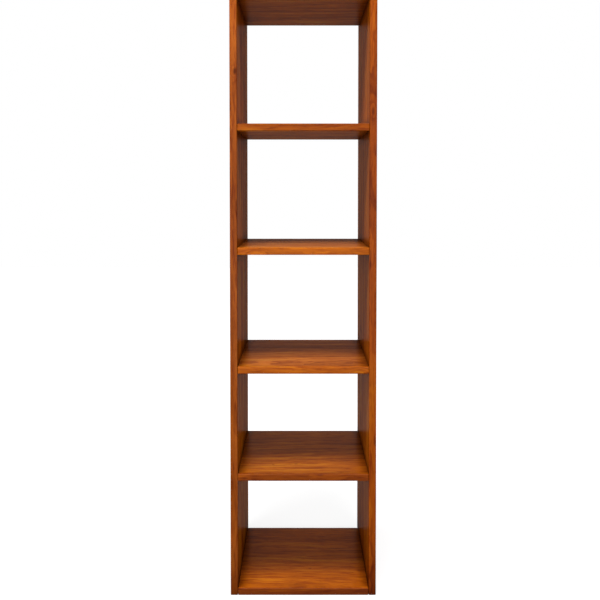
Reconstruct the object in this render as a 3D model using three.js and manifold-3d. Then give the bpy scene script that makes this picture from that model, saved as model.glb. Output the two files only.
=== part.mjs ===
// Tall, narrow open bookcase in solid wood: two full-height sides, and six cross boards between them
// that are flush with the sides in front and stop short of them behind. Each board end is located by
// two fluted dowels and drawn up by one countersunk screw, hidden under a turned plug.
// Millimetres, +Z up, front towards -Y, origin on the floor under the middle of the case.

import * as THREE from 'three';
import { mergeVertices } from 'three/addons/utils/BufferGeometryUtils.js';
import { RoundedBoxGeometry } from 'three/addons/geometries/RoundedBoxGeometry.js';
import Module from 'manifold-3d';

const wasm = await Module();
wasm.setup();

// Case
const caseHeight = 1659;
const caseWidth = 400;
const sideDepth = 350;
const sideThickness = 20;
const crossDepth = 310;
const crossThickness = 20;
const clearUnderShelf1 = 298; // the top compartment takes what is left over shelf 4
const clearUnderShelf2 = 276;
const clearUnderShelf3 = 306;
const clearUnderShelf4 = 317;
const arrisRadius = 2.2; // every board edge is eased by hand
const arrisFacets = 2; // on each half of a rounded edge

// Fits
const jointGap = 0.3; // between a board end and the side that it butts against
const boreClearance = 0.3; // round a dowel, a plug or a screw
const seatGap = 0.3; // between a plug and the screw head under it
const cutOverrun = 1; // how far a cutter runs past the face that it enters

// Fluted dowel
const dowelDiameter = 8;
const dowelLength = 32;
const dowelInSide = 12;
const dowelSetback = 45; // from the board's front or back edge to the dowel's axis
const dowelChamfer = 0.8;
const fluteDepth = 0.5;
const fluteCount = 10;
const dowelEndGap = 0.5; // glue space past each end

// Countersunk screw with a hexagonal socket
const headDiameter = 9;
const headRim = 0.6;
const headHeight = 3.2;
const shankDiameter = 5;
const screwLength = 50; // over the head
const tipLength = 6;
const tipDiameter = 1.6;
const socketAcrossFlats = 4;
const socketDepth = 1.8;
const socketCorners = 6;

// Turned plug
const plugDiameter = 10;
const plugThickness = 6;
const plugTaper = 0.25; // less radius at its inner end

const plugFacets = 24; // round a plug and its counterbore, which show
const boreFacets = 12; // round a screw and the hidden bores

// Derived places. An end's own axis runs inwards from the outer face of its side.
const crossLength = caseWidth - 2 * (sideThickness + jointGap);
const crossCentreY = (crossDepth - sideDepth) / 2;
const headTop = plugThickness + seatGap;
const countersinkTop = headTop + headRim;
const countersinkEnd = headTop + headHeight;
const screwEnd = headTop + screwLength;
const dowelStart = sideThickness - dowelInSide;
const dowelOffset = crossDepth / 2 - dowelSetback;

// Cross boards: the base and the shelves stack up from the floor, and the top closes the case.
const crossBoards = [
  ...stackBoards([
    { node: 'base_panel', name: 'base', clearUnder: 0 },
    { node: 'shelf_1', name: 'shelf_1', clearUnder: clearUnderShelf1 },
    { node: 'shelf_2', name: 'shelf_2', clearUnder: clearUnderShelf2 },
    { node: 'shelf_3', name: 'shelf_3', clearUnder: clearUnderShelf3 },
    { node: 'shelf_4', name: 'shelf_4', clearUnder: clearUnderShelf4 },
  ]),
  { node: 'top_panel', name: 'top', centreZ: caseHeight - crossThickness / 2 },
];

const ends = [
  { name: 'left', sign: -1, turn: 0 },
  { name: 'right', sign: 1, turn: Math.PI },
];
const dowelPlaces = [
  { name: 'front', sign: 1 },
  { name: 'back', sign: -1 },
];

const sideWood = new THREE.MeshStandardMaterial({ color: 0x8a4518, roughness: 0.48, metalness: 0 });
const crossWood = new THREE.MeshStandardMaterial({ color: 0xa5581d, roughness: 0.42, metalness: 0 });
const dowelWood = new THREE.MeshStandardMaterial({ color: 0xd0a671, roughness: 0.7, metalness: 0 });
const plugWood = new THREE.MeshStandardMaterial({ color: 0x6e3412, roughness: 0.5, metalness: 0 });
const zincSteel = new THREE.MeshStandardMaterial({ color: 0xb9b4a6, roughness: 0.35, metalness: 1 });

// Adds each board's centre height, working up from the floor.
function stackBoards(boards) {
  let underside = 0;
  return boards.map((board) => {
    underside += board.clearUnder;
    const placed = { ...board, centreZ: underside + crossThickness / 2 };
    underside += crossThickness;
    return placed;
  });
}

// Closed mesh to solid: only the positions are kept, and shared corners are merged.
function toSolid(geometry) {
  const bare = geometry.clone();
  bare.deleteAttribute('normal');
  bare.deleteAttribute('uv');
  const merged = mergeVertices(bare);
  return new wasm.Manifold(new wasm.Mesh({
    numProp: 3,
    vertProperties: new Float32Array(merged.attributes.position.array),
    triVerts: new Uint32Array(merged.index.array),
  }));
}

// Solid back to a mesh geometry.
function toGeometry(solid) {
  const mesh = solid.getMesh();
  const geometry = new THREE.BufferGeometry();
  geometry.setAttribute('position', new THREE.BufferAttribute(mesh.vertProperties, mesh.numProp));
  geometry.setIndex(new THREE.BufferAttribute(mesh.triVerts, 1));
  geometry.computeVertexNormals();
  return geometry;
}

// The body less every cutter.
function cut(body, cutters) {
  const solid = cutters.reduce((left, cutter) => left.subtract(toSolid(cutter)), toSolid(body));
  return toGeometry(solid);
}

// A board with all its edges eased.
function easedBoard(length, depth, height) {
  return new RoundedBoxGeometry(length, depth, height, arrisFacets, arrisRadius);
}

// A profile of [radius, distance] pairs, turned round the end's inward axis.
function turned(profile, facets) {
  const points = profile.map(([radius, distance]) => new THREE.Vector2(radius, distance));
  return new THREE.LatheGeometry(points, facets).rotateZ(-Math.PI / 2);
}

// Places a point of an end's own axis in the case.
function endMatrix(end, board) {
  return new THREE.Matrix4().makeRotationZ(end.turn)
    .setPosition(end.sign * caseWidth / 2, crossCentreY, board.centreZ);
}

// Both dowel axes of an end, measured from the middle of the board in the end's own frame.
function dowelAxis(end, place) {
  return end.sign * place.sign * dowelOffset;
}

// Dowel: a star of flutes, extruded, with a chamfer at both ends.
function dowelGeometry() {
  const outline = new THREE.Shape();
  const inner = dowelDiameter / 2 - fluteDepth;
  const corners = 2 * fluteCount;
  for (let i = 0; i < corners; i += 1) {
    const radius = i % 2 ? inner : dowelDiameter / 2;
    const angle = i / corners * 2 * Math.PI;
    const point = [radius * Math.cos(angle), radius * Math.sin(angle)];
    if (i) outline.lineTo(...point);
    else outline.moveTo(...point);
  }
  outline.closePath();
  return new THREE.ExtrudeGeometry(outline, {
    depth: dowelLength - 2 * dowelChamfer,
    bevelSize: dowelChamfer,
    bevelOffset: -dowelChamfer,
    bevelThickness: dowelChamfer,
    bevelSegments: 1,
  }).translate(0, 0, dowelChamfer).rotateY(Math.PI / 2);
}

// Blind bore for a dowel, through the joint into both boards. Its flats clear the dowel.
function dowelBore() {
  const radius = (dowelDiameter / 2 + boreClearance) / Math.cos(Math.PI / boreFacets);
  return turned([
    [0, -dowelEndGap],
    [radius, -dowelEndGap],
    [radius, dowelLength + dowelEndGap],
    [0, dowelLength + dowelEndGap],
  ], boreFacets);
}

// Screw: rimmed head, countersink, shank and tapered tip, with the socket cut into the head.
function screwGeometry() {
  const body = turned([
    [0, headTop],
    [headDiameter / 2, headTop],
    [headDiameter / 2, countersinkTop],
    [shankDiameter / 2, countersinkEnd],
    [shankDiameter / 2, screwEnd - tipLength],
    [tipDiameter / 2, screwEnd],
    [0, screwEnd],
  ], boreFacets);
  const socketRadius = socketAcrossFlats / 2 / Math.cos(Math.PI / socketCorners);
  const socket = turned([
    [0, headTop - cutOverrun],
    [socketRadius, headTop - cutOverrun],
    [socketRadius, headTop + socketDepth],
    [0, headTop + socketDepth],
  ], socketCorners);
  return cut(body, [socket]);
}

// Counterbore in the side's outer face, for the plug and the rim of the screw head.
function counterbore() {
  const radius = plugDiameter / 2 + boreClearance;
  return turned([
    [0, -cutOverrun],
    [radius, -cutOverrun],
    [radius, countersinkTop],
    [0, countersinkTop],
  ], plugFacets);
}

// Stepped bore under it, for the countersink, the shank and the tip of the screw in turn.
function screwBore() {
  const headRadius = headDiameter / 2 + boreClearance;
  const shankRadius = shankDiameter / 2 + boreClearance;
  return turned([
    [0, headTop],
    [headRadius, headTop],
    [headRadius, countersinkTop],
    [shankRadius, countersinkEnd],
    [shankRadius, screwEnd - tipLength],
    [tipDiameter / 2 + boreClearance, screwEnd + boreClearance],
    [0, screwEnd + boreClearance],
  ], boreFacets);
}

// Plug: a turned disc, a little tapered, flush with the outer face.
function plugGeometry() {
  return turned([
    [0, 0],
    [plugDiameter / 2, 0],
    [plugDiameter / 2 - plugTaper, plugThickness],
    [0, plugThickness],
  ], plugFacets);
}

// All cutters of one board end, in the case's own frame.
function endCutters(end, board) {
  const matrix = endMatrix(end, board);
  const bores = dowelPlaces.map((place) => (
    dowelBore().translate(dowelStart, dowelAxis(end, place), 0)
  ));
  return [...bores, counterbore(), screwBore()].map((bore) => bore.applyMatrix4(matrix));
}

function addMesh(parent, name, geometry, material) {
  const mesh = new THREE.Mesh(geometry, material);
  mesh.name = name;
  parent.add(mesh);
  return mesh;
}

// Upright: bored for every cross board that ends against it.
function addSide(bookcase, end) {
  const centreX = end.sign * (caseWidth - sideThickness) / 2;
  const centreZ = caseHeight / 2;
  const body = easedBoard(sideThickness, sideDepth, caseHeight).translate(centreX, 0, centreZ);
  const cutters = crossBoards.flatMap((board) => endCutters(end, board));
  addMesh(bookcase, `${end.name}_side`, cut(body, cutters), sideWood);
}

// Cross board with its end bores, and the fasteners of both its ends.
function addCrossBoard(bookcase, board) {
  const body = easedBoard(crossLength, crossDepth, crossThickness)
    .translate(0, crossCentreY, board.centreZ);
  const cutters = ends.flatMap((end) => endCutters(end, board));
  addMesh(bookcase, board.node, cut(body, cutters), crossWood);
  for (const end of ends) addFasteners(bookcase, board, end);
}

function addFasteners(bookcase, board, end) {
  const group = new THREE.Group();
  group.position.set(end.sign * caseWidth / 2, crossCentreY, board.centreZ);
  group.rotation.z = end.turn;
  const prefix = `${board.name}_${end.name}`;
  for (const place of dowelPlaces) {
    const dowel = addMesh(group, `${prefix}_${place.name}_dowel`, dowelGeometry(), dowelWood);
    dowel.position.set(dowelStart, dowelAxis(end, place), 0);
  }
  addMesh(group, `${prefix}_screw`, screwGeometry(), zincSteel);
  addMesh(group, `${prefix}_plug`, plugGeometry(), plugWood);
  bookcase.add(group);
}

const bookcase = new THREE.Group();
for (const end of ends) addSide(bookcase, end);
for (const board of crossBoards) addCrossBoard(bookcase, board);

export default bookcase;
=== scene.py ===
import bmesh
import bpy
import numpy as np
from mathutils import Euler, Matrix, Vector


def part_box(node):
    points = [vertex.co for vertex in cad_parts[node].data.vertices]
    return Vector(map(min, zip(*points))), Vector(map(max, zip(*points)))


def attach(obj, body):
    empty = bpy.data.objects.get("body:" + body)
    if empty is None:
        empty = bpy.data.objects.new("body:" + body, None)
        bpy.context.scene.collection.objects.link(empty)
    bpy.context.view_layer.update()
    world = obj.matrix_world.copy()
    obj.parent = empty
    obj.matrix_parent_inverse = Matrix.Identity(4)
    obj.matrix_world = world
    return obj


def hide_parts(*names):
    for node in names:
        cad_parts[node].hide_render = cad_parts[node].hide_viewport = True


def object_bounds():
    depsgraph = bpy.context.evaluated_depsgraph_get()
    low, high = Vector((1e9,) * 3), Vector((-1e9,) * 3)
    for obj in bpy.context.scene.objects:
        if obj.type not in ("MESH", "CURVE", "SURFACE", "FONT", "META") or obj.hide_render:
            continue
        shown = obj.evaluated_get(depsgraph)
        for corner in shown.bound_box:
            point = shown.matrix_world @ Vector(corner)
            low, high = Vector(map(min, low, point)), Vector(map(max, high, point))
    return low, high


# Tall open bookcase in lacquered sheesham: two sides, six cross boards, and the dowels, screws
# and plugs that hold them. Metres, +Z up, front towards -Y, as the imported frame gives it.

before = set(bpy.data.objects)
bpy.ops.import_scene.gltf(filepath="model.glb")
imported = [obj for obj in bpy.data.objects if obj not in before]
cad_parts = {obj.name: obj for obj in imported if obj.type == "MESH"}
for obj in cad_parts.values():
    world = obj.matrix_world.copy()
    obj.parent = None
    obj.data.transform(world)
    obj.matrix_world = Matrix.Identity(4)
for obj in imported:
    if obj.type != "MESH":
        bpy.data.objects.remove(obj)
cadLow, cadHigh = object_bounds()
print("frame loaded:", len(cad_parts), "nodes")

mm = 0.001
sideNodes = ["left_side", "right_side"]
crossNodes = ["base_panel", "shelf_1", "shelf_2", "shelf_3", "shelf_4", "top_panel"]
endSigns = {"left": -1, "right": 1}     # the way along X from the middle to each end
creaseAngle = 32                        # degrees: faces that meet more sharply keep their edge
sameSpot = 0.001 * mm                   # points of a mesh nearer than this become one


# Helpers for objects, nodes and meshes

def addObject(name, data):
    # an object at the origin that holds this mesh, lens or light
    holder = bpy.data.objects.new(name, data)
    bpy.context.scene.collection.objects.link(holder)
    return holder


def linearColour(hexText):
    # sRGB hex to linear RGBA: a straight line near black, a 2.4 power above it
    channels = np.array([int(hexText[i:i + 2], 16) for i in (1, 3, 5)]) / 255
    curve = ((channels + 0.055) / 1.055) ** 2.4
    return (*np.where(channels <= 0.04045, channels / 12.92, curve).tolist(), 1.0)


def emptyTree(owner):
    # the node tree of a material or a world, with nothing in it yet
    owner.use_nodes = True
    owner.node_tree.nodes.clear()
    return owner.node_tree


def startMaterial(name):
    # a new material and its empty node tree
    material = bpy.data.materials.new(name)
    return material, emptyTree(material)


def addNode(tree, kind, inputs=None, stops=None, **settings):
    # One node with its settings: an input that is a socket is linked, any other is a fixed value.
    # Inputs by number: a Mix has its share in 0, then numbers in 2 and 3 or colours in 6 and 7,
    # and a Map Range takes value 0 from the range 1 to 2 to the range 3 to 4.
    node = tree.nodes.new(kind)
    for key, value in settings.items():
        setattr(node, key, value)
    for key, value in (inputs or {}).items():
        if isinstance(value, bpy.types.NodeSocket):
            tree.links.new(value, node.inputs[key])
        else:
            node.inputs[key].default_value = value
    if stops:
        elements = node.color_ramp.elements
        elements.remove(elements[-1])
        elements[0].position, elements[0].color = stops[0][0], linearColour(stops[0][1])
        for position, hexText in stops[1:]:
            elements.new(position).color = linearColour(hexText)
    return node


def stretchedNoise(tree, place, sizes, octaves, flat=False, roughness=0.58):
    # noise of the place divided by these lengths, so that it changes once over each of them; a
    # length of 0 leaves that direction out
    spread = addNode(tree, "ShaderNodeVectorMath", {
        0: place, 1: [1 / size if size else 0 for size in sizes]}, operation="MULTIPLY")
    return addNode(tree, "ShaderNodeTexNoise", {
        "Vector": spread.outputs[0], "Scale": 1, "Detail": octaves, "Roughness": roughness},
        noise_dimensions="2D" if flat else "3D")


def skinRings(name, rings):
    # closed skin over an array of rings (stations, points round, xyz): quads join each ring to
    # the next, and one polygon closes each end
    stations, around = rings.shape[:2]
    index = np.arange(stations * around).reshape(stations, around)
    ahead = np.roll(index, -1, axis=1)
    quads = np.stack([index[:-1], ahead[:-1], ahead[1:], index[1:]], axis=-1).reshape(-1, 4)
    mesh = bpy.data.meshes.new(name)
    faces = quads.tolist() + [index[0, ::-1].tolist(), index[-1].tolist()]
    mesh.from_pydata(rings.reshape(-1, 3).tolist(), [], faces)
    work = bmesh.new()
    work.from_mesh(mesh)
    bmesh.ops.remove_doubles(work, verts=work.verts, dist=sameSpot)
    bmesh.ops.recalc_face_normals(work, faces=work.faces)
    work.to_mesh(mesh)
    work.free()
    return addObject(name, mesh)


def joinPieces(name, pieces):
    # one object out of several, by adding their meshes together
    work = bmesh.new()
    for piece in pieces:
        work.from_mesh(piece.data)
        bpy.data.objects.remove(piece)
    mesh = bpy.data.meshes.new(name)
    work.to_mesh(mesh)
    work.free()
    return addObject(name, mesh)


def smoothBelow(piece, degrees):
    # smooth shading, with a crease wherever two faces meet more sharply than this
    piece.data.shade_smooth()
    piece.data.set_sharp_from_angle(angle=np.radians(degrees))


def slowWave(along, wavelengths, seed):
    # mean of sines with these wavelengths and seeded phases, brought to 0..1
    phases = np.random.default_rng(seed).uniform(0, 2 * np.pi, len(wavelengths))
    waves = np.sin(2 * np.pi * along[..., None] / np.array(wavelengths) + phases)
    return 0.5 + 0.5 * waves.mean(axis=-1)


# Camera: the view that fits the photograph's edges best, as a lens with a vertical shift. Its
# numbers come from a least-squares fit to edges measured in the photograph.

photoCamera = {
    "imageSize": 600,        # pixels
    "focalLength": 629.1,    # pixels
    "axisRow": 204,          # pixel row that the lens axis meets
    "sensorWidth": 36,       # millimetres
    "toFront": 1.7070,       # metres in front of the case's front plane
    "sideways": -0.0090,
    "height": 1.1206,
    "lookDown": 0.0245,      # radians
}


def makeCamera(view):
    lens = bpy.data.cameras.new("photoLens")
    lens.sensor_width = view["sensorWidth"]
    lens.lens = view["focalLength"] / view["imageSize"] * view["sensorWidth"]
    lens.shift_y = view["axisRow"] / view["imageSize"] - 0.5
    camera = addObject("photoCamera", lens)
    camera.location = (view["sideways"], cadLow.y - view["toFront"], view["height"])
    camera.rotation_euler = (np.pi / 2 - view["lookDown"], 0, 0)
    bpy.context.scene.camera = camera


makeCamera(photoCamera)
print("camera set")


# Boards

boardShape = {
    "arris": 2.2 * mm,           # eased by hand, so its radius wanders along the board
    "arrisWander": 0.18,         # share of the arris
    "arrisSteps": 6,
    "faceStep": 22 * mm,
    "unevenness": 0.14 * mm,     # how far the planed and sanded faces rise and fall
    "waves": [310 * mm, 173 * mm, 91 * mm],
    "waveSlant": 0.4,            # how far along a wave runs for each step across
    "seedStep": 10,              # between boards; each draws its waves from three seeds in a row
}


def boardSection(depth, thickness, shape):
    # One turn round a rounded rectangle, as a (share of the half size, normal) for each point: a
    # quarter circle of normals at every corner, then points along the face to the next corner.
    turn = np.linspace(0, np.pi / 2, shape["arrisSteps"] + 1)
    shares, normals = [], []
    for quarter in range(4):
        here = quarter * np.pi / 2
        corner = np.sign([np.cos(here + np.pi / 4), np.sin(here + np.pi / 4)])
        ahead = np.array([-corner[1], corner[0]])
        run = depth if quarter % 2 == 0 else thickness
        count = max(2, round(run / shape["faceStep"]))
        between = np.linspace(0, 1, count + 1)[1:-1, None]
        facing = [np.cos(here + np.pi / 2), np.sin(here + np.pi / 2)]
        shares += [np.tile(corner, (len(turn), 1)), corner + between * (ahead - corner)]
        normals += [
            np.stack([np.cos(here + turn), np.sin(here + turn)], axis=1),
            np.tile(facing, (len(between), 1)),
        ]
    return np.concatenate(shares), np.concatenate(normals)


def boardRings(length, depth, thickness, shape, seed):
    # A rounded rectangle carried along the board: point = share * (half size - radius) + radius *
    # normal. Over the last arris at each end the radius shrinks along a quarter circle, so the
    # ends are eased like the edges. The faces are lowered by a slow wave of the place along them.
    turn = np.linspace(0, np.pi / 2, shape["arrisSteps"] + 1)
    arris = shape["arris"]
    endRun = arris * (1 - np.cos(turn))
    steps = round(length / shape["faceStep"])
    middle = np.linspace(arris - length / 2, length / 2 - arris, steps)[1:-1]
    along = np.concatenate([endRun - length / 2, middle, (length / 2 - endRun)[::-1]])
    drawIn = np.concatenate([1 - np.sin(turn), np.zeros(len(middle)), (1 - np.sin(turn))[::-1]])

    share, normal = boardSection(depth, thickness, shape)
    wander = 1 - shape["arrisWander"] * slowWave(along, shape["waves"], seed)
    radius = (arris * wander)[:, None, None]
    inner = np.array([depth, thickness]) / 2 - radius
    profile = share * inner + radius * (1 - drawIn[:, None, None]) * normal
    across, through = profile[..., 0], profile[..., 1]
    slanted = along[:, None] + shape["waveSlant"] * across
    lowered = slowWave(slanted, shape["waves"], seed + 1)
    narrowed = slowWave(along, shape["waves"], seed + 2)[:, None]
    through = through * (1 - shape["unevenness"] / (thickness / 2) * lowered)
    across = across * (1 - shape["unevenness"] / (depth / 2) * narrowed)
    return np.stack([np.broadcast_to(along[:, None], across.shape), across, through], axis=-1)


def makeBoard(node, seed):
    # rings along X, turned to run up for a side, round the middle of the node's box
    low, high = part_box(node)
    size, centre = np.array(high - low), np.array(low + high) / 2
    upright = node in sideNodes
    length, depth, thickness = size[::-1] if upright else size
    rings = boardRings(length, depth, thickness, boardShape, seed)
    points = rings[..., ::-1] if upright else rings
    return skinRings(node + "_board", points + centre)


boards = {
    node: makeBoard(node, boardShape["seedStep"] * (i + 1))
    for i, node in enumerate(sideNodes + crossNodes)
}
print("boards made")


# Dowels, screws and plugs. Each board end has an axis that runs inwards from the outer face of
# its side: a turned surface is rings of (distance, radius * cos, radius * sin) round that axis.

dowelShape = {
    "flutes": 20,
    "pointsRound": 80,
    "fluteDepth": 0.35 * mm,
    "chamfer": 0.8 * mm,
    "borePoints": 32,
    "boreGap": 0.15 * mm,
    "glueSpace": 0.5 * mm,
}
screwShape = {
    "pointsRound": 24,
    "rim": 0.6 * mm,
    "headHeight": 3.2 * mm,
    "shank": 5 * mm,
    "core": 3.6 * mm,
    "pitch": 2.2 * mm,
    "ridgeShare": 0.34,          # of the pitch, from the crest of a ridge to its foot
    "stationsPerPitch": 8,
    "tip": 6 * mm,
    "tipWidth": 1.6 * mm,
    "socket": 4 * mm,
    "socketDepth": 1.8 * mm,
    "edge": 0.25 * mm,
    "boreGap": 0.15 * mm,
}
plugShape = {
    "pointsRound": 48,
    "edge": 0.25 * mm,
    "edgeBelly": 0.3,            # share of the edge where it turns, near that of a quarter circle
    "taper": 0.25 * mm,
    "boreGap": 0.15 * mm,
    "boreOverrun": 1 * mm,       # how far the cut starts outside the board
}


def turnedRings(radii, distances, pointsRound):
    # radii is one value for each ring, or one for each point of each ring
    angle = np.linspace(0, 2 * np.pi, pointsRound, endpoint=False)
    radius = np.broadcast_to(np.reshape(radii, (len(distances), -1)), (len(distances), pointsRound))
    distance = np.broadcast_to(np.reshape(distances, (-1, 1)), radius.shape)
    return np.stack([distance, radius * np.cos(angle), radius * np.sin(angle)], axis=-1)


def placeOnEnd(rings, sign, middle):
    # middle is the axis's (y, z); the axis starts on the side's outer face
    return rings * (-sign, 1, 1) + (sign * cadHigh.x, *middle)


def nodeAxis(node, sign):
    # start and end of a fastener along its axis, its radius, and the axis's (y, z)
    low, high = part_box(node)
    inward = sorted(cadHigh.x - sign * x for x in (low.x, high.x))
    return inward[0], inward[1], (high.y - low.y) / 2, ((low.y + high.y) / 2, (low.z + high.z) / 2)


def makeDowel(node, sign):
    # radius = rod radius less a groove, which is a raised cosine squared; the ends are chamfered
    start, end, radius, middle = nodeAxis(node, sign)
    shape, chamfer = dowelShape, dowelShape["chamfer"]
    angle = np.linspace(0, 2 * np.pi, shape["pointsRound"], endpoint=False)
    groove = shape["fluteDepth"] * (0.5 - 0.5 * np.cos(shape["flutes"] * angle)) ** 2
    less = np.array([chamfer, 0, 0, chamfer])[:, None]
    distances = [start, start + chamfer, end - chamfer, end]
    rings = turnedRings(radius - less - groove, distances, shape["pointsRound"])
    return skinRings(node + "_fluted", placeOnEnd(rings, sign, middle))


def dowelBore(node, sign):
    # a plain round hole, a little wider than its rod, with room for glue at both ends
    start, end, radius, middle = nodeAxis(node, sign)
    wide, glue = radius + dowelShape["boreGap"], dowelShape["glueSpace"]
    rings = turnedRings([wide, wide], [start - glue, end + glue], dowelShape["borePoints"])
    return placeOnEnd(rings, sign, middle)


def makeScrew(node, sign):
    # hexagonal socket, rimmed head, countersink, then a shank whose radius rises in a ridge that
    # advances by one pitch for each turn, and a tapered tip
    start, end, headRadius, middle = nodeAxis(node, sign)
    shape = screwShape
    angle = np.linspace(0, 2 * np.pi, shape["pointsRound"], endpoint=False)
    sixth = np.pi / 3
    hexagon = shape["socket"] / 2 / np.cos(angle % sixth - sixth / 2)
    edge, neck = shape["edge"], start + shape["headHeight"]
    head = [
        (hexagon, start + shape["socketDepth"]),
        (hexagon, start + edge),
        (hexagon + edge, start),
        (headRadius - edge, start),
        (headRadius, start + edge),
        (headRadius, start + shape["rim"]),
        (shape["shank"] / 2, neck),
    ]
    headRadii = np.array([np.broadcast_to(radius, angle.shape) for radius, _ in head])
    count = round((end - neck) / shape["pitch"] * shape["stationsPerPitch"])
    along = np.linspace(neck, end, count)[1:]
    phase = (along[:, None] / shape["pitch"] - angle / (2 * np.pi)) % 1
    ridge = np.clip(1 - np.abs(phase - 0.5) / shape["ridgeShare"], 0, 1)
    core, height = shape["core"] / 2, (shape["shank"] - shape["core"]) / 2
    toEnd = np.clip((end - along) / shape["tip"], 0, 1)[:, None]
    thread = shape["tipWidth"] / 2 * (1 - toEnd) + (core + height * ridge) * toEnd
    distances = np.concatenate([[distance for _, distance in head], along])
    rings = turnedRings(np.concatenate([headRadii, thread]), distances, shape["pointsRound"])
    return skinRings(node + "_threaded", placeOnEnd(rings, sign, middle))


def makePlug(node, sign):
    # a disc with a softened outer edge, a little narrower inside
    start, end, radius, middle = nodeAxis(node, sign)
    edge, belly = plugShape["edge"], plugShape["edgeBelly"] * plugShape["edge"]
    radii = [radius - edge, radius - belly, radius, radius - plugShape["taper"]]
    distances = [start, start + belly, start + edge, end]
    rings = turnedRings(radii, distances, plugShape["pointsRound"])
    return skinRings(node + "_turned", placeOnEnd(rings, sign, middle))


def steppedBore(screwNode, plugNode, sign):
    # the way in for one screw: counterbore for its plug, countersink, shank and tip
    start, end, headRadius, _ = nodeAxis(screwNode, sign)
    _, _, plugRadius, middle = nodeAxis(plugNode, sign)
    shape, gap = screwShape, screwShape["boreGap"]
    shank, tip = shape["shank"] / 2 + gap, shape["tipWidth"] / 2 + gap
    wide = plugRadius + plugShape["boreGap"]
    radii = [wide, wide, headRadius + gap, shank, shank, tip]
    distances = [
        -plugShape["boreOverrun"],
        start + shape["rim"],
        start + shape["rim"],
        start + shape["headHeight"],
        end - shape["tip"],
        end + gap,
    ]
    return placeOnEnd(turnedRings(radii, distances, plugShape["pointsRound"]), sign, middle)


fasteners, bores = {}, {node: [] for node in boards}
for crossNode in crossNodes:
    for end, sign in endSigns.items():
        joint = crossNode.replace("_panel", "") + "_" + end
        dowelNodes = [f"{joint}_front_dowel", f"{joint}_back_dowel"]
        screwNode, plugNode = f"{joint}_screw", f"{joint}_plug"
        for node in dowelNodes:
            fasteners[node] = makeDowel(node, sign)
        fasteners[screwNode] = makeScrew(screwNode, sign)
        fasteners[plugNode] = makePlug(plugNode, sign)
        drilled = [dowelBore(node, sign) for node in dowelNodes]
        drilled.append(steppedBore(screwNode, plugNode, sign))
        bores[crossNode] += drilled
        bores[end + "_side"] += drilled
print("fasteners made:", len(fasteners))


def drill(board, cuts):
    # takes every bore out of the board, and leaves the result as plain mesh
    drills = joinPieces("drills", [skinRings("drill", rings) for rings in cuts])
    taken = board.modifiers.new("bores", "BOOLEAN")
    taken.operation, taken.solver, taken.object = "DIFFERENCE", "EXACT", drills
    evaluated = board.evaluated_get(bpy.context.evaluated_depsgraph_get())
    drilledMesh = bpy.data.meshes.new_from_object(evaluated)
    board.modifiers.clear()
    board.data = drilledMesh
    bpy.data.objects.remove(drills)


for node, board in boards.items():
    drill(board, bores[node])
for piece in [*boards.values(), *fasteners.values()]:
    smoothBelow(piece, creaseAngle)
print("boards drilled")


# Sheesham, sawn through and through, planed, sanded and satin lacquered. To the eye: growth rings
# that run as long brown and orange bands and open into arches, short wavy streaks, thin dark
# lines, short dark pores, and a faint reflection of bright surroundings in the thin clear film.
# Pores are really 0.3 mm wide; they are drawn 1.2 mm wide, so that they show from a step away.

woodFigure = {
    "sways": [                       # the grain's wander: length, width and reach
        (330 * mm, 90 * mm, 11 * mm),
        (70 * mm, 30 * mm, 2.4 * mm),
    ],
    "swayOctaves": 2,
    "bands": {"across": 14 * mm, "along": 300 * mm, "octaves": 4},
    "zones": {"across": 60 * mm, "along": 1300 * mm, "octaves": 2},
    "zoneShare": 0.3,                # of the body colour; the bands give the rest
    "body": [(0.32, "#934c1b"), (0.45, "#a35723"), (0.55, "#b3632b"), (0.68, "#c17939")],
    "streaks": {
        "across": 5 * mm, "along": 60 * mm, "octaves": 2, "share": 0.7,
        "tones": [(0.30, "#b9876a"), (0.46, "#efe2da"), (0.66, "#ffffff")],
    },
    "lines": {
        "across": 3.2 * mm, "along": 110 * mm, "octaves": 1, "share": 0.6,
        "tones": [(0.26, "#7d4729"), (0.37, "#ffffff")],
    },
    "pores": {
        "across": 1.2 * mm, "along": 18 * mm, "octaves": 1, "share": 0.35,
        "tones": [(0.60, "#ffffff"), (0.74, "#7c4a2e")],
    },
    "rings": {
        "width": 8 * mm,
        "drift": 2.4,                # rings that the bands push the ring lines by, each way
        "tones": [(0.00, "#ffffff"), (0.50, "#f4ece4"), (0.88, "#a5714f"), (1.00, "#f8f2ee")],
        "zones": (0.38, 0.62),       # zones over which the lines fade,
        "shares": (0.6, 0.1),        # and their share at each of these two
    },
    "knots": {
        "stretch": 2.4,              # a knot reaches this much further along the grain
        "reach": 2.6,                # radii out to which the rings swell round it
        "swell": 1.3,                # radii that they are pushed by in its middle
        "heart": (0.2, 0.9),         # radii over which its heart fades out
        "tone": "#5a2a12",
    },
    "endGrain": {"facing": (0.5, 0.9), "share": 0.8, "tone": "#94705c"},
    "paintedBackShade": {                   # painted shade along the back arrises
        "fade": (3 * mm, 0.9 * mm), "share": 0.5, "tone": "#6a4a38",
    },
    "foot": {                        # painted shade, darker towards the floor
        "height": 150 * mm, "frontFade": (1 * mm, 3 * mm), "tone": "#beaa70",
    },
    "corners": {                     # painted shade where two boards meet
        "reach": 30 * mm, "sideFade": (14 * mm, 10 * mm), "frontFade": (3 * mm, 10 * mm),
        "tone": "#c6bcb2",
    },
    "relief": {"height": 0.12 * mm, "strength": 0.4, "poreShare": 0.5},
    "roughness": 0.6,                # of the wood under the film
    "film": {"roughness": 0.3, "ior": 1.5},
}
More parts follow.
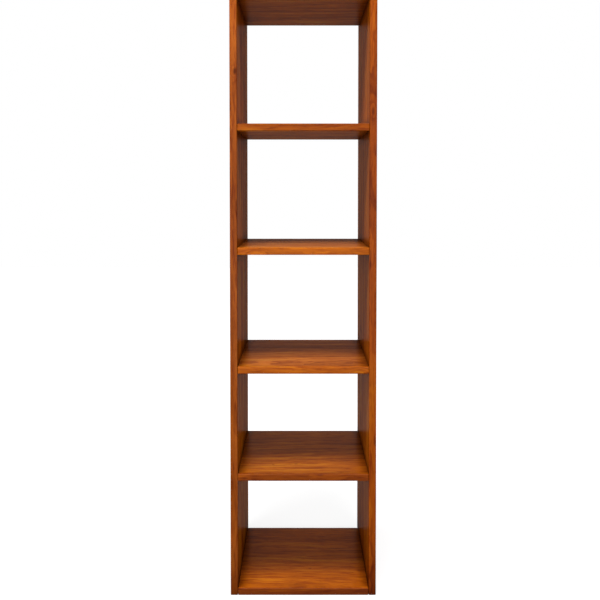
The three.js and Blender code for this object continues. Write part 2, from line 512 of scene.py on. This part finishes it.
# pith: metres along, across and through, from the middle of the log to the board's middle. tilt:
# degrees between board and log. tone: multiplies the figure. sheen: weight of the film. knots:
# x, y, z of each, the way that its branch runs, its radius and how dark its heart is. fore: the
# tone next to the front, partly the wood's own and partly painted light and shade on the front
# faces and the front of the tops, how far behind the front it starts and is full and, on the
# base, the same below its top face.
# The tones and sheens weren't chosen by hand: fitting programs worked them out and wrote them
# here, from the mean colours of areas of the photograph and of the render.
boardLooks = {
    "left_side": {
        "pith": (2.79, 40 * mm, 70 * mm), "tilt": (0, 1.2, 0.4), "tone": "#f9ff78", "sheen": 0.0705,
        "knots": [((-0.1855, 0, 1.438), "y", 7 * mm, 0.8)],
        "fore": {"behind": (25 * mm, 5 * mm), "tone": "#c6bc8f"},
    },
    "right_side": {
        "pith": (6.53, -60 * mm, 60 * mm), "tilt": (0, -0.9, 0.7), "tone": "#eeee79", "sheen": 0.0809,
        "knots": [((0.190, 0, 1.33), "y", 8 * mm, 0.3)],
        "fore": {"behind": (25 * mm, 5 * mm), "tone": "#c0a447"},
    },
    "base_panel": {
        "pith": (5.59, 150 * mm, -85 * mm), "tilt": (0, 1.2, 0.6), "tone": "#dbcd69", "sheen": 0.1500,
        "knots": [((0.02, -0.085, 0.02), "z", 3 * mm, 0.6)],
        "fore": {"behind": (90 * mm, 50 * mm), "below": (4 * mm, 0.8 * mm), "tone": "#fdf260"},
    },
    "shelf_1": {
        "pith": (10.11, -130 * mm, -70 * mm), "tilt": (0, 1.4, -0.9), "tone": "#ebe671", "sheen": 0.1416,
        "knots": [
            ((-0.085, -0.115, 0.338), "z", 3 * mm, 0.6),
            ((-0.02, -0.112, 0.338), "z", 4 * mm, 0.6),
        ],
        "fore": {"behind": (17 * mm, 1 * mm), "tone": "#c1ad48"},
    },
    "shelf_2": {
        "pith": (3.17, 120 * mm, -60 * mm), "tilt": (0, -1.6, 1.2), "tone": "#faffc4", "sheen": 0.1046,
        "knots": [((0.155, 0, 0.624), "y", 7 * mm, 0.2)],
        "fore": {"behind": (25 * mm, 3 * mm), "tone": "#e6da57"},
    },
    "shelf_3": {
        "pith": (13.37, -120 * mm, -76 * mm), "tilt": (0, 1.8, 1), "tone": "#e0e6c7", "sheen": 0.0819,
        "knots": [((-0.125, 0, 0.942), "y", 8 * mm, 0.1)],
        "fore": {"behind": (17 * mm, 1 * mm), "tone": "#f2ea5c"},
    },
    "shelf_4": {
        "pith": (10.19, 150 * mm, 62 * mm), "tilt": (0, 1.2, -1), "tone": "#f9fa7a", "sheen": 0.0740,
        "fore": {"behind": (17 * mm, 1 * mm), "tone": "#baa545"},
    },
    "top_panel": {
        "pith": (12.12, -140 * mm, 68 * mm), "tilt": (0, -1.4, 1), "tone": "#e7ed6f", "sheen": 0.0893,
    },
}
plugLook = {"pith": (0.9, 60 * mm, 45 * mm), "tilt": (4, 3, 2), "tone": "#9e824d", "sheen": 0.05}


def placeInLog(tree, place, look, box, upright):
    # from the case to the log: x along the grain, y and z from the pith, wandering a little
    low, high = box
    turn = Euler(np.radians(look["tilt"])).to_matrix()
    if upright:
        turn = turn @ Euler((0, np.pi / 2, 0)).to_matrix()
    log = addNode(tree, "ShaderNodeMapping", {
        "Vector": place,
        "Location": Vector(look["pith"]) - turn @ ((low + high) / 2),
        "Rotation": turn.to_euler(),
    }).outputs[0]
    swayed = log
    for length, width, reach in woodFigure["sways"]:
        sway = stretchedNoise(tree, log, (length, width, width), woodFigure["swayOctaves"])
        centred = addNode(tree, "ShaderNodeVectorMath", {
            0: sway.outputs["Color"], 1: (0.5, 0.5, 0.5)}, operation="SUBTRACT")
        swayed = addNode(tree, "ShaderNodeVectorMath", {
            0: centred.outputs[0], 1: (0, 2 * reach, 2 * reach), 2: swayed},
            operation="MULTIPLY_ADD").outputs[0]
    return swayed


def swellAtKnots(tree, place, ringRadius, knots, grainAxis):
    # the rings swell round each knot, and its heart is dark: gives the distance from the pith
    # with the swellings added, and a (share, shade) for each heart
    figure, hearts = woodFigure["knots"], []
    for middle, branch, radius, darkness in knots:
        stretch = np.array([1.0, 1.0, 1.0])
        stretch[grainAxis] = 1 / figure["stretch"]
        stretch["xyz".index(branch)] = 0
        offset = addNode(tree, "ShaderNodeVectorMath", {0: place, 1: middle}, operation="SUBTRACT")
        scaled = addNode(tree, "ShaderNodeVectorMath", {
            0: offset.outputs[0], 1: stretch / radius}, operation="MULTIPLY")
        reached = addNode(tree, "ShaderNodeVectorMath", {
            0: scaled.outputs[0]}, operation="LENGTH").outputs["Value"]
        swell = addNode(tree, "ShaderNodeMapRange", {
            0: reached, 1: 0.0, 2: figure["reach"], 3: figure["swell"] * radius, 4: 0.0},
            interpolation_type="SMOOTHERSTEP")
        ringRadius = addNode(tree, "ShaderNodeMath", {
            0: ringRadius, 1: swell.outputs[0]}, operation="ADD").outputs[0]
        heart = addNode(tree, "ShaderNodeMapRange", {
            0: reached, 1: figure["heart"][0], 2: figure["heart"][1], 3: darkness, 4: 0.0},
            interpolation_type="SMOOTHSTEP")
        hearts.append((heart.outputs[0], linearColour(figure["tone"])))
    return ringRadius, hearts


def grainLayers(tree, swayed, grainPlace, ringRadius):
    # bands and zones are noise of (distance from the pith, place along the grain), and streaks,
    # lines and pores are noise drawn out along the grain
    rings = addNode(tree, "ShaderNodeCombineXYZ", {0: ringRadius, 1: grainPlace}).outputs[0]
    layers = {}
    for name in ("bands", "zones"):
        layer = woodFigure[name]
        sizes = (layer["across"], layer["along"], 0)
        layers[name] = stretchedNoise(tree, rings, sizes, layer["octaves"], flat=True).outputs[0]
    for name in ("streaks", "lines", "pores"):
        layer = woodFigure[name]
        sizes = (layer["along"], layer["across"], layer["across"])
        layers[name] = stretchedNoise(tree, swayed, sizes, layer["octaves"]).outputs[0]
    return layers


def ringLines(tree, ringRadius, layers):
    # late wood darkens slowly outwards and ends sharply: shade by the fraction that is left of
    # distance from the pith / ring width + drift
    figure = woodFigure["rings"]
    ringCount = addNode(tree, "ShaderNodeMath", {
        0: ringRadius, 1: figure["width"]}, operation="DIVIDE")
    drifted = addNode(tree, "ShaderNodeMath", {
        0: layers["bands"], 1: 2 * figure["drift"], 2: ringCount.outputs[0]},
        operation="MULTIPLY_ADD")
    fraction = addNode(tree, "ShaderNodeMath", {0: drifted.outputs[0]}, operation="FRACT")
    shade = addNode(tree, "ShaderNodeValToRGB", {0: fraction.outputs[0]}, stops=figure["tones"])
    share = addNode(tree, "ShaderNodeMapRange", {
        0: layers["zones"], 1: figure["zones"][0], 2: figure["zones"][1],
        3: figure["shares"][0], 4: figure["shares"][1]})
    return share.outputs[0], shade.outputs[0]


def boardTone(tree, look, box, logSpot, spot):
    # the board's tone, and next to its front the fore tone, partly painted light and shade, with a
    # border as wavy as the grain
    tone = linearColour(look["tone"])
    if "fore" not in look:
        return tone
    fore, (low, high) = look["fore"], box
    frontInLog = look["pith"][1] - (high.y - low.y) / 2
    start, full = fore["behind"]
    inFore = addNode(tree, "ShaderNodeMapRange", {
        0: logSpot[1], 1: frontInLog + start, 2: frontInLog + full, 3: 0.0, 4: 1.0},
        interpolation_type="SMOOTHSTEP").outputs[0]
    if "below" in fore:
        start, full = fore["below"]
        onTop = addNode(tree, "ShaderNodeMapRange", {
            0: spot[2], 1: high.z - start, 2: high.z - full, 3: 0.0, 4: 1.0})
        inFore = addNode(tree, "ShaderNodeMath", {
            0: inFore, 1: onTop.outputs[0]}, operation="MULTIPLY").outputs[0]
    return addNode(tree, "ShaderNodeMix", {
        0: inFore, 6: tone, 7: linearColour(fore["tone"])}, data_type="RGBA").outputs[2]


def endGrain(tree, normal, grainAxis):
    # darker where the face looks along the grain
    figure = woodFigure["endGrain"]
    facing = addNode(tree, "ShaderNodeSeparateXYZ", {0: normal}).outputs[grainAxis]
    turned = addNode(tree, "ShaderNodeMath", {0: facing}, operation="ABSOLUTE")
    share = addNode(tree, "ShaderNodeMapRange", {
        0: turned.outputs[0], 1: figure["facing"][0], 2: figure["facing"][1],
        3: 0.0, 4: figure["share"]})
    return share.outputs[0], linearColour(figure["tone"])


def paintedBackShade(tree, spot, back):
    # painted shade where the back arrises turn from the light: darker by the place from front to back,
    # over the last millimetres
    figure = woodFigure["paintedBackShade"]
    start, full = figure["fade"]
    share = addNode(tree, "ShaderNodeMapRange", {
        0: spot[1], 1: back - start, 2: back - full, 3: 0.0, 4: figure["share"]})
    return share.outputs[0], linearColour(figure["tone"])


def paintedFootShade(tree, spot, front, upright):
    # painted shade near the floor: darker towards it; on the base only its front edge, not its top
    figure = woodFigure["foot"]
    share = addNode(tree, "ShaderNodeMapRange", {
        0: spot[2], 1: 0.0, 2: figure["height"], 3: 1.0, 4: 0.0}).outputs[0]
    if not upright:
        full, gone = figure["frontFade"]
        frontFace = addNode(tree, "ShaderNodeMapRange", {
            0: spot[1], 1: front + full, 2: front + gone, 3: 1.0, 4: 0.0})
        share = addNode(tree, "ShaderNodeMath", {
            0: share, 1: frontFace.outputs[0]}, operation="MULTIPLY").outputs[0]
    return share, linearColour(figure["tone"])


def paintedCornerShade(tree, spot, box, grainAxis, joints):
    # painted shade on the faces that look inwards, in the corners where boards meet: its share by the
    # place along the board, times that by the depth from the case's outer faces, times that by the
    # depth from its front
    figure, (low, high) = woodFigure["corners"], box
    start, end, reach = low[grainAxis], high[grainAxis], figure["reach"]
    unshaded, shaded, stops = "#000000", "#ffffff", []
    for first, last in joints:
        fade = (first - reach, unshaded), (first, shaded), (last, shaded), (last + reach, unshaded)
        stops += [((at - start) / (end - start), grey) for at, grey in fade if start <= at <= end]
    along = addNode(tree, "ShaderNodeMapRange", {
        0: spot[grainAxis], 1: start, 2: end, 3: 0.0, 4: 1.0})
    atJoints = addNode(tree, "ShaderNodeValToRGB", {0: along.outputs[0]}, stops=stops)
    atJoints.color_ramp.interpolation = "EASE"
    fromMiddle = addNode(tree, "ShaderNodeMath", {0: spot[0]}, operation="ABSOLUTE")
    full, gone = figure["sideFade"]
    inside = addNode(tree, "ShaderNodeMapRange", {
        0: fromMiddle.outputs[0], 1: cadHigh.x - full, 2: cadHigh.x - gone, 3: 1.0, 4: 0.0})
    gone, full = figure["frontFade"]
    fromFront = addNode(tree, "ShaderNodeMapRange", {
        0: spot[1], 1: low.y + gone, 2: low.y + full, 3: 0.0, 4: 1.0})
    inCorner = addNode(tree, "ShaderNodeMath", {
        0: atJoints.outputs[0], 1: inside.outputs[0]}, operation="MULTIPLY")
    share = addNode(tree, "ShaderNodeMath", {
        0: inCorner.outputs[0], 1: fromFront.outputs[0]}, operation="MULTIPLY")
    return share.outputs[0], linearColour(figure["tone"])


def lacquer(tree, colour, layers, sheen):
    # the wood only scatters light, and the film over it gives the one reflection
    relief, film = woodFigure["relief"], woodFigure["film"]
    height = addNode(tree, "ShaderNodeMix", {
        0: relief["poreShare"], 2: layers["streaks"], 3: layers["pores"]}, data_type="FLOAT")
    bump = addNode(tree, "ShaderNodeBump", {
        "Strength": relief["strength"], "Distance": relief["height"], "Height": height.outputs[0]})
    shader = addNode(tree, "ShaderNodeBsdfPrincipled", {
        "Base Color": colour,
        "Roughness": woodFigure["roughness"],
        "Specular IOR Level": 0.0,
        "Normal": bump.outputs[0],
        "Coat Weight": sheen,
        "Coat Roughness": film["roughness"],
        "Coat IOR": film["ior"],
        "Coat Normal": bump.outputs[0],
    })
    addNode(tree, "ShaderNodeOutputMaterial", {0: shader.outputs[0]})


def makeSheesham(name, look, box, upright, joints):
    # a body colour by the bands and zones, which every (share, shade) then multiplies
    material, tree = startMaterial(name)
    texture = addNode(tree, "ShaderNodeTexCoord")
    place = texture.outputs["Object"]
    spot = addNode(tree, "ShaderNodeSeparateXYZ", {0: place}).outputs
    grainAxis = 2 if upright else 0
    low, high = box

    swayed = placeInLog(tree, place, look, box, upright)
    logSpot = addNode(tree, "ShaderNodeSeparateXYZ", {0: swayed}).outputs
    flat = addNode(tree, "ShaderNodeVectorMath", {0: swayed, 1: (0, 1, 1)}, operation="MULTIPLY")
    fromPith = addNode(tree, "ShaderNodeVectorMath", {
        0: flat.outputs[0]}, operation="LENGTH").outputs["Value"]
    ringRadius, shades = swellAtKnots(tree, place, fromPith, look.get("knots", ()), grainAxis)
    layers = grainLayers(tree, swayed, logSpot[0], ringRadius)
    mixed = addNode(tree, "ShaderNodeMix", {
        0: woodFigure["zoneShare"], 2: layers["bands"], 3: layers["zones"]}, data_type="FLOAT")
    body = addNode(tree, "ShaderNodeValToRGB", {0: mixed.outputs[0]}, stops=woodFigure["body"])

    shades.append(ringLines(tree, ringRadius, layers))
    for layer in ("streaks", "lines", "pores"):
        share, tones = woodFigure[layer]["share"], woodFigure[layer]["tones"]
        shade = addNode(tree, "ShaderNodeValToRGB", {0: layers[layer]}, stops=tones)
        shades.append((share, shade.outputs[0]))
    shades.append((1.0, boardTone(tree, look, box, logSpot, spot)))
    shades.append(endGrain(tree, texture.outputs["Normal"], grainAxis))
    # painted shade along the back arrises
    shades.append(paintedBackShade(tree, spot, high.y))
    # painted shade towards the floor
    if low.z < mm:
        shades.append(paintedFootShade(tree, spot, low.y, upright))
    # painted shade in the corners where boards meet
    if joints:
        shades.append(paintedCornerShade(tree, spot, box, grainAxis, joints))

    colour = body.outputs[0]
    for share, shade in shades:
        colour = addNode(tree, "ShaderNodeMix", {
            0: share, 6: colour, 7: shade}, data_type="RGBA", blend_type="MULTIPLY").outputs[2]
    lacquer(tree, colour, layers, look["sheen"])
    return material


crossHeights = [(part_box(node)[0].z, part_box(node)[1].z) for node in crossNodes]
for node, board in boards.items():
    low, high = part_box(node)
    upright = node in sideNodes
    joints = crossHeights if upright else [(low.x, low.x), (high.x, high.x)]
    material = makeSheesham(node + " sheesham, sawn and satin lacquered", boardLooks[node],
                            (low, high), upright, joints)
    board.data.materials.clear()
    board.data.materials.append(material)


# Beech, turned and left bare: pale pinkish tan, straight grain, and short darker ray flecks.

beechLook = {
    "grain": (0.9 * mm, 30 * mm, 3),       # across, along and octaves
    "grainTones": [(0.35, "#c4986c"), (0.50, "#d6ad80"), (0.65, "#e2bf96")],
    "flecks": (0.7 * mm, 2.6 * mm, 0),     # really 0.3 mm wide, drawn wider
    "fleckTones": [(0.62, "#ffffff"), (0.72, "#b98a66")],
    "fleckShare": 0.7,
    "roughness": 0.72,
    "ior": 1.45,
    "relief": 0.05 * mm,
    "reliefStrength": 0.5,
}


def makeBeech(look):
    material, tree = startMaterial("beech, turned and left bare")
    place = addNode(tree, "ShaderNodeTexCoord").outputs["Object"]
    across, along, octaves = look["grain"]
    grain = stretchedNoise(tree, place, (along, across, across), octaves).outputs[0]
    across, along, octaves = look["flecks"]
    flecks = stretchedNoise(tree, place, (along, across, across), octaves).outputs[0]
    body = addNode(tree, "ShaderNodeValToRGB", {0: grain}, stops=look["grainTones"])
    fleckShade = addNode(tree, "ShaderNodeValToRGB", {0: flecks}, stops=look["fleckTones"])
    colour = addNode(tree, "ShaderNodeMix", {
        0: look["fleckShare"], 6: body.outputs[0], 7: fleckShade.outputs[0]},
        data_type="RGBA", blend_type="MULTIPLY")
    bump = addNode(tree, "ShaderNodeBump", {
        "Strength": look["reliefStrength"], "Distance": look["relief"], "Height": grain})
    shader = addNode(tree, "ShaderNodeBsdfPrincipled", {
        "Base Color": colour.outputs[2], "Roughness": look["roughness"], "IOR": look["ior"],
        "Normal": bump.outputs[0]})
    addNode(tree, "ShaderNodeOutputMaterial", {0: shader.outputs[0]})
    return material


# Zinc-plated steel, cold headed and rolled: a soft grey metal with a faintly yellow, cloudy film.

zincLook = {
    "clouds": (5 * mm, 3),                  # size and octaves
    "cloudTones": [(0.35, "#a9a79e"), (0.65, "#c6c4bb")],
    "cloudRange": (0.3, 0.7),               # from dark clouds to bright ones,
    "roughness": (0.42, 0.28),              # and the roughness of each
    "scratches": (0.4 * mm, 9 * mm, 2),     # across, along and octaves
    "relief": 0.02 * mm,
    "reliefStrength": 0.3,
}


def makeZinc(look):
    material, tree = startMaterial("zinc-plated steel, cold headed")
    place = addNode(tree, "ShaderNodeTexCoord").outputs["Object"]
    size, octaves = look["clouds"]
    clouds = stretchedNoise(tree, place, (size, size, size), octaves).outputs[0]
    across, along, octaves = look["scratches"]
    scratches = stretchedNoise(tree, place, (along, across, across), octaves).outputs[0]
    colour = addNode(tree, "ShaderNodeValToRGB", {0: clouds}, stops=look["cloudTones"])
    gloss = addNode(tree, "ShaderNodeMapRange", {
        0: clouds, 1: look["cloudRange"][0], 2: look["cloudRange"][1],
        3: look["roughness"][0], 4: look["roughness"][1]})
    bump = addNode(tree, "ShaderNodeBump", {
        "Strength": look["reliefStrength"], "Distance": look["relief"], "Height": scratches})
    shader = addNode(tree, "ShaderNodeBsdfPrincipled", {
        "Base Color": colour.outputs[0], "Metallic": 1.0, "Roughness": gloss.outputs[0],
        "Normal": bump.outputs[0]})
    addNode(tree, "ShaderNodeOutputMaterial", {0: shader.outputs[0]})
    return material


caseBox = (cadLow, cadHigh)
fastenerMaterials = {
    "fluted": makeBeech(beechLook),
    "threaded": makeZinc(zincLook),
    "turned": makeSheesham("sheesham plugs, turned and lacquered", plugLook, caseBox, True, []),
}
for piece in fasteners.values():
    piece.data.materials.append(fastenerMaterials[piece.name.split("_")[-1]])
print("materials made")


# Everything rides on the one body and stands for its CAD node.

for node, piece in {**boards, **fasteners}.items():
    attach(piece, "root")
    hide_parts(node)


# Floor and daylight-white surroundings: lamps give the shading, and only rays that come straight
# from the camera, a gloss or a glass see the full white.

roomLook = {
    "floorSize": 14.0,            # metres
    "floorPaint": "#878787",
    "glowFade": (0.2, 1.0),       # metres from the middle of the case,
    "floorGlow": (0.80, 1.0),     # and how bright the floor shows at each
    "ambient": 0.25,
}
# at and towards: metres. size: width and height of the oval that shines, in metres. The watts
# began as a least-squares fit to the same areas of the photograph, and some were changed.
lamps = [
    {"name": "keyLamp", "at": (-0.45, -1.04, 2.92), "towards": (-0.45, 0, 0.5),
     "size": (3.0, 0.7), "watts": 86},
    {"name": "frontPanel", "at": (-0.3, -2.6, 1.4), "towards": (0, 0, 0.9),
     "size": (3.2, 2.2), "watts": 56.7},
    {"name": "lowLamp", "at": (0, -1.9, 0.4), "towards": (0, 0, 0.7),
     "size": (2.0, 0.6), "watts": 7.0},
    {"name": "leftWash", "at": (-2.6, 0.2, 1.2), "towards": (-0.2, 0, 0.8),
     "size": (0.6, 0.6), "watts": 28.8},
    {"name": "rightWash", "at": (2.6, 0.2, 1.2), "towards": (0.2, 0, 0.8),
     "size": (0.6, 0.6), "watts": 28.8},
]


def seenDirectly(tree):
    # 1 for camera, glossy and transmission rays, and 0 for all others
    path = addNode(tree, "ShaderNodeLightPath")
    gloss = addNode(tree, "ShaderNodeMath", {
        0: path.outputs["Is Camera Ray"], 1: path.outputs["Is Glossy Ray"]}, operation="ADD")
    return addNode(tree, "ShaderNodeMath", {
        0: gloss.outputs[0], 1: path.outputs["Is Transmission Ray"]},
        operation="ADD", use_clamp=True).outputs[0]


def makeFloor(look):
    # a flat square, painted matt to take the case's shadow, with a glow for the rays that see
    # directly, so that they find it near white
    half = look["floorSize"] / 2
    corners = [(-half, -half, 0), (half, -half, 0), (half, half, 0), (-half, half, 0)]
    mesh = bpy.data.meshes.new("floor")
    mesh.from_pydata(corners, [], [(0, 1, 2, 3)])
    material, tree = startMaterial("matt pale painted floor")
    matt = addNode(tree, "ShaderNodeBsdfDiffuse", {"Color": linearColour(look["floorPaint"])})
    place = addNode(tree, "ShaderNodeTexCoord").outputs["Object"]
    away = addNode(tree, "ShaderNodeVectorMath", {0: place}, operation="LENGTH")
    strength = addNode(tree, "ShaderNodeMapRange", {
        0: away.outputs["Value"], 1: look["glowFade"][0], 2: look["glowFade"][1],
        3: look["floorGlow"][0], 4: look["floorGlow"][1]}, interpolation_type="SMOOTHSTEP")
    glow = addNode(tree, "ShaderNodeEmission", {"Strength": strength.outputs[0]})
    dark = addNode(tree, "ShaderNodeEmission", {"Strength": 0.0})
    shown = addNode(tree, "ShaderNodeMixShader", {
        0: seenDirectly(tree), 1: dark.outputs[0], 2: glow.outputs[0]})
    both = addNode(tree, "ShaderNodeAddShader", {0: matt.outputs[0], 1: shown.outputs[0]})
    addNode(tree, "ShaderNodeOutputMaterial", {0: both.outputs[0]})
    mesh.materials.append(material)
    addObject("floor", mesh)


def makeSurroundings(look):
    # white to the rays that see directly, and a dim even light to all others
    world = bpy.data.worlds.new("white surroundings")
    bpy.context.scene.world = world
    tree = emptyTree(world)
    strength = addNode(tree, "ShaderNodeMapRange", {0: seenDirectly(tree), 3: look["ambient"], 4: 1.0})
    sky = addNode(tree, "ShaderNodeBackground", {0: (1, 1, 1, 1), 1: strength.outputs[0]})
    addNode(tree, "ShaderNodeOutputWorld", {0: sky.outputs[0]})


def makeLamp(lamp):
    # an oval panel that shines towards a point
    light = bpy.data.lights.new(lamp["name"], "AREA")
    light.shape, light.energy = "ELLIPSE", lamp["watts"]
    light.size, light.size_y = lamp["size"]
    holder = addObject(lamp["name"], light)
    holder.location = lamp["at"]
    aim = Vector(lamp["towards"]) - Vector(lamp["at"])
    holder.rotation_euler = aim.to_track_quat("-Z", "Y").to_euler()


makeFloor(roomLook)
makeSurroundings(roomLook)
for lamp in lamps:
    makeLamp(lamp)
bpy.context.scene.view_settings.view_transform = "Standard"
print("room and lamps made")
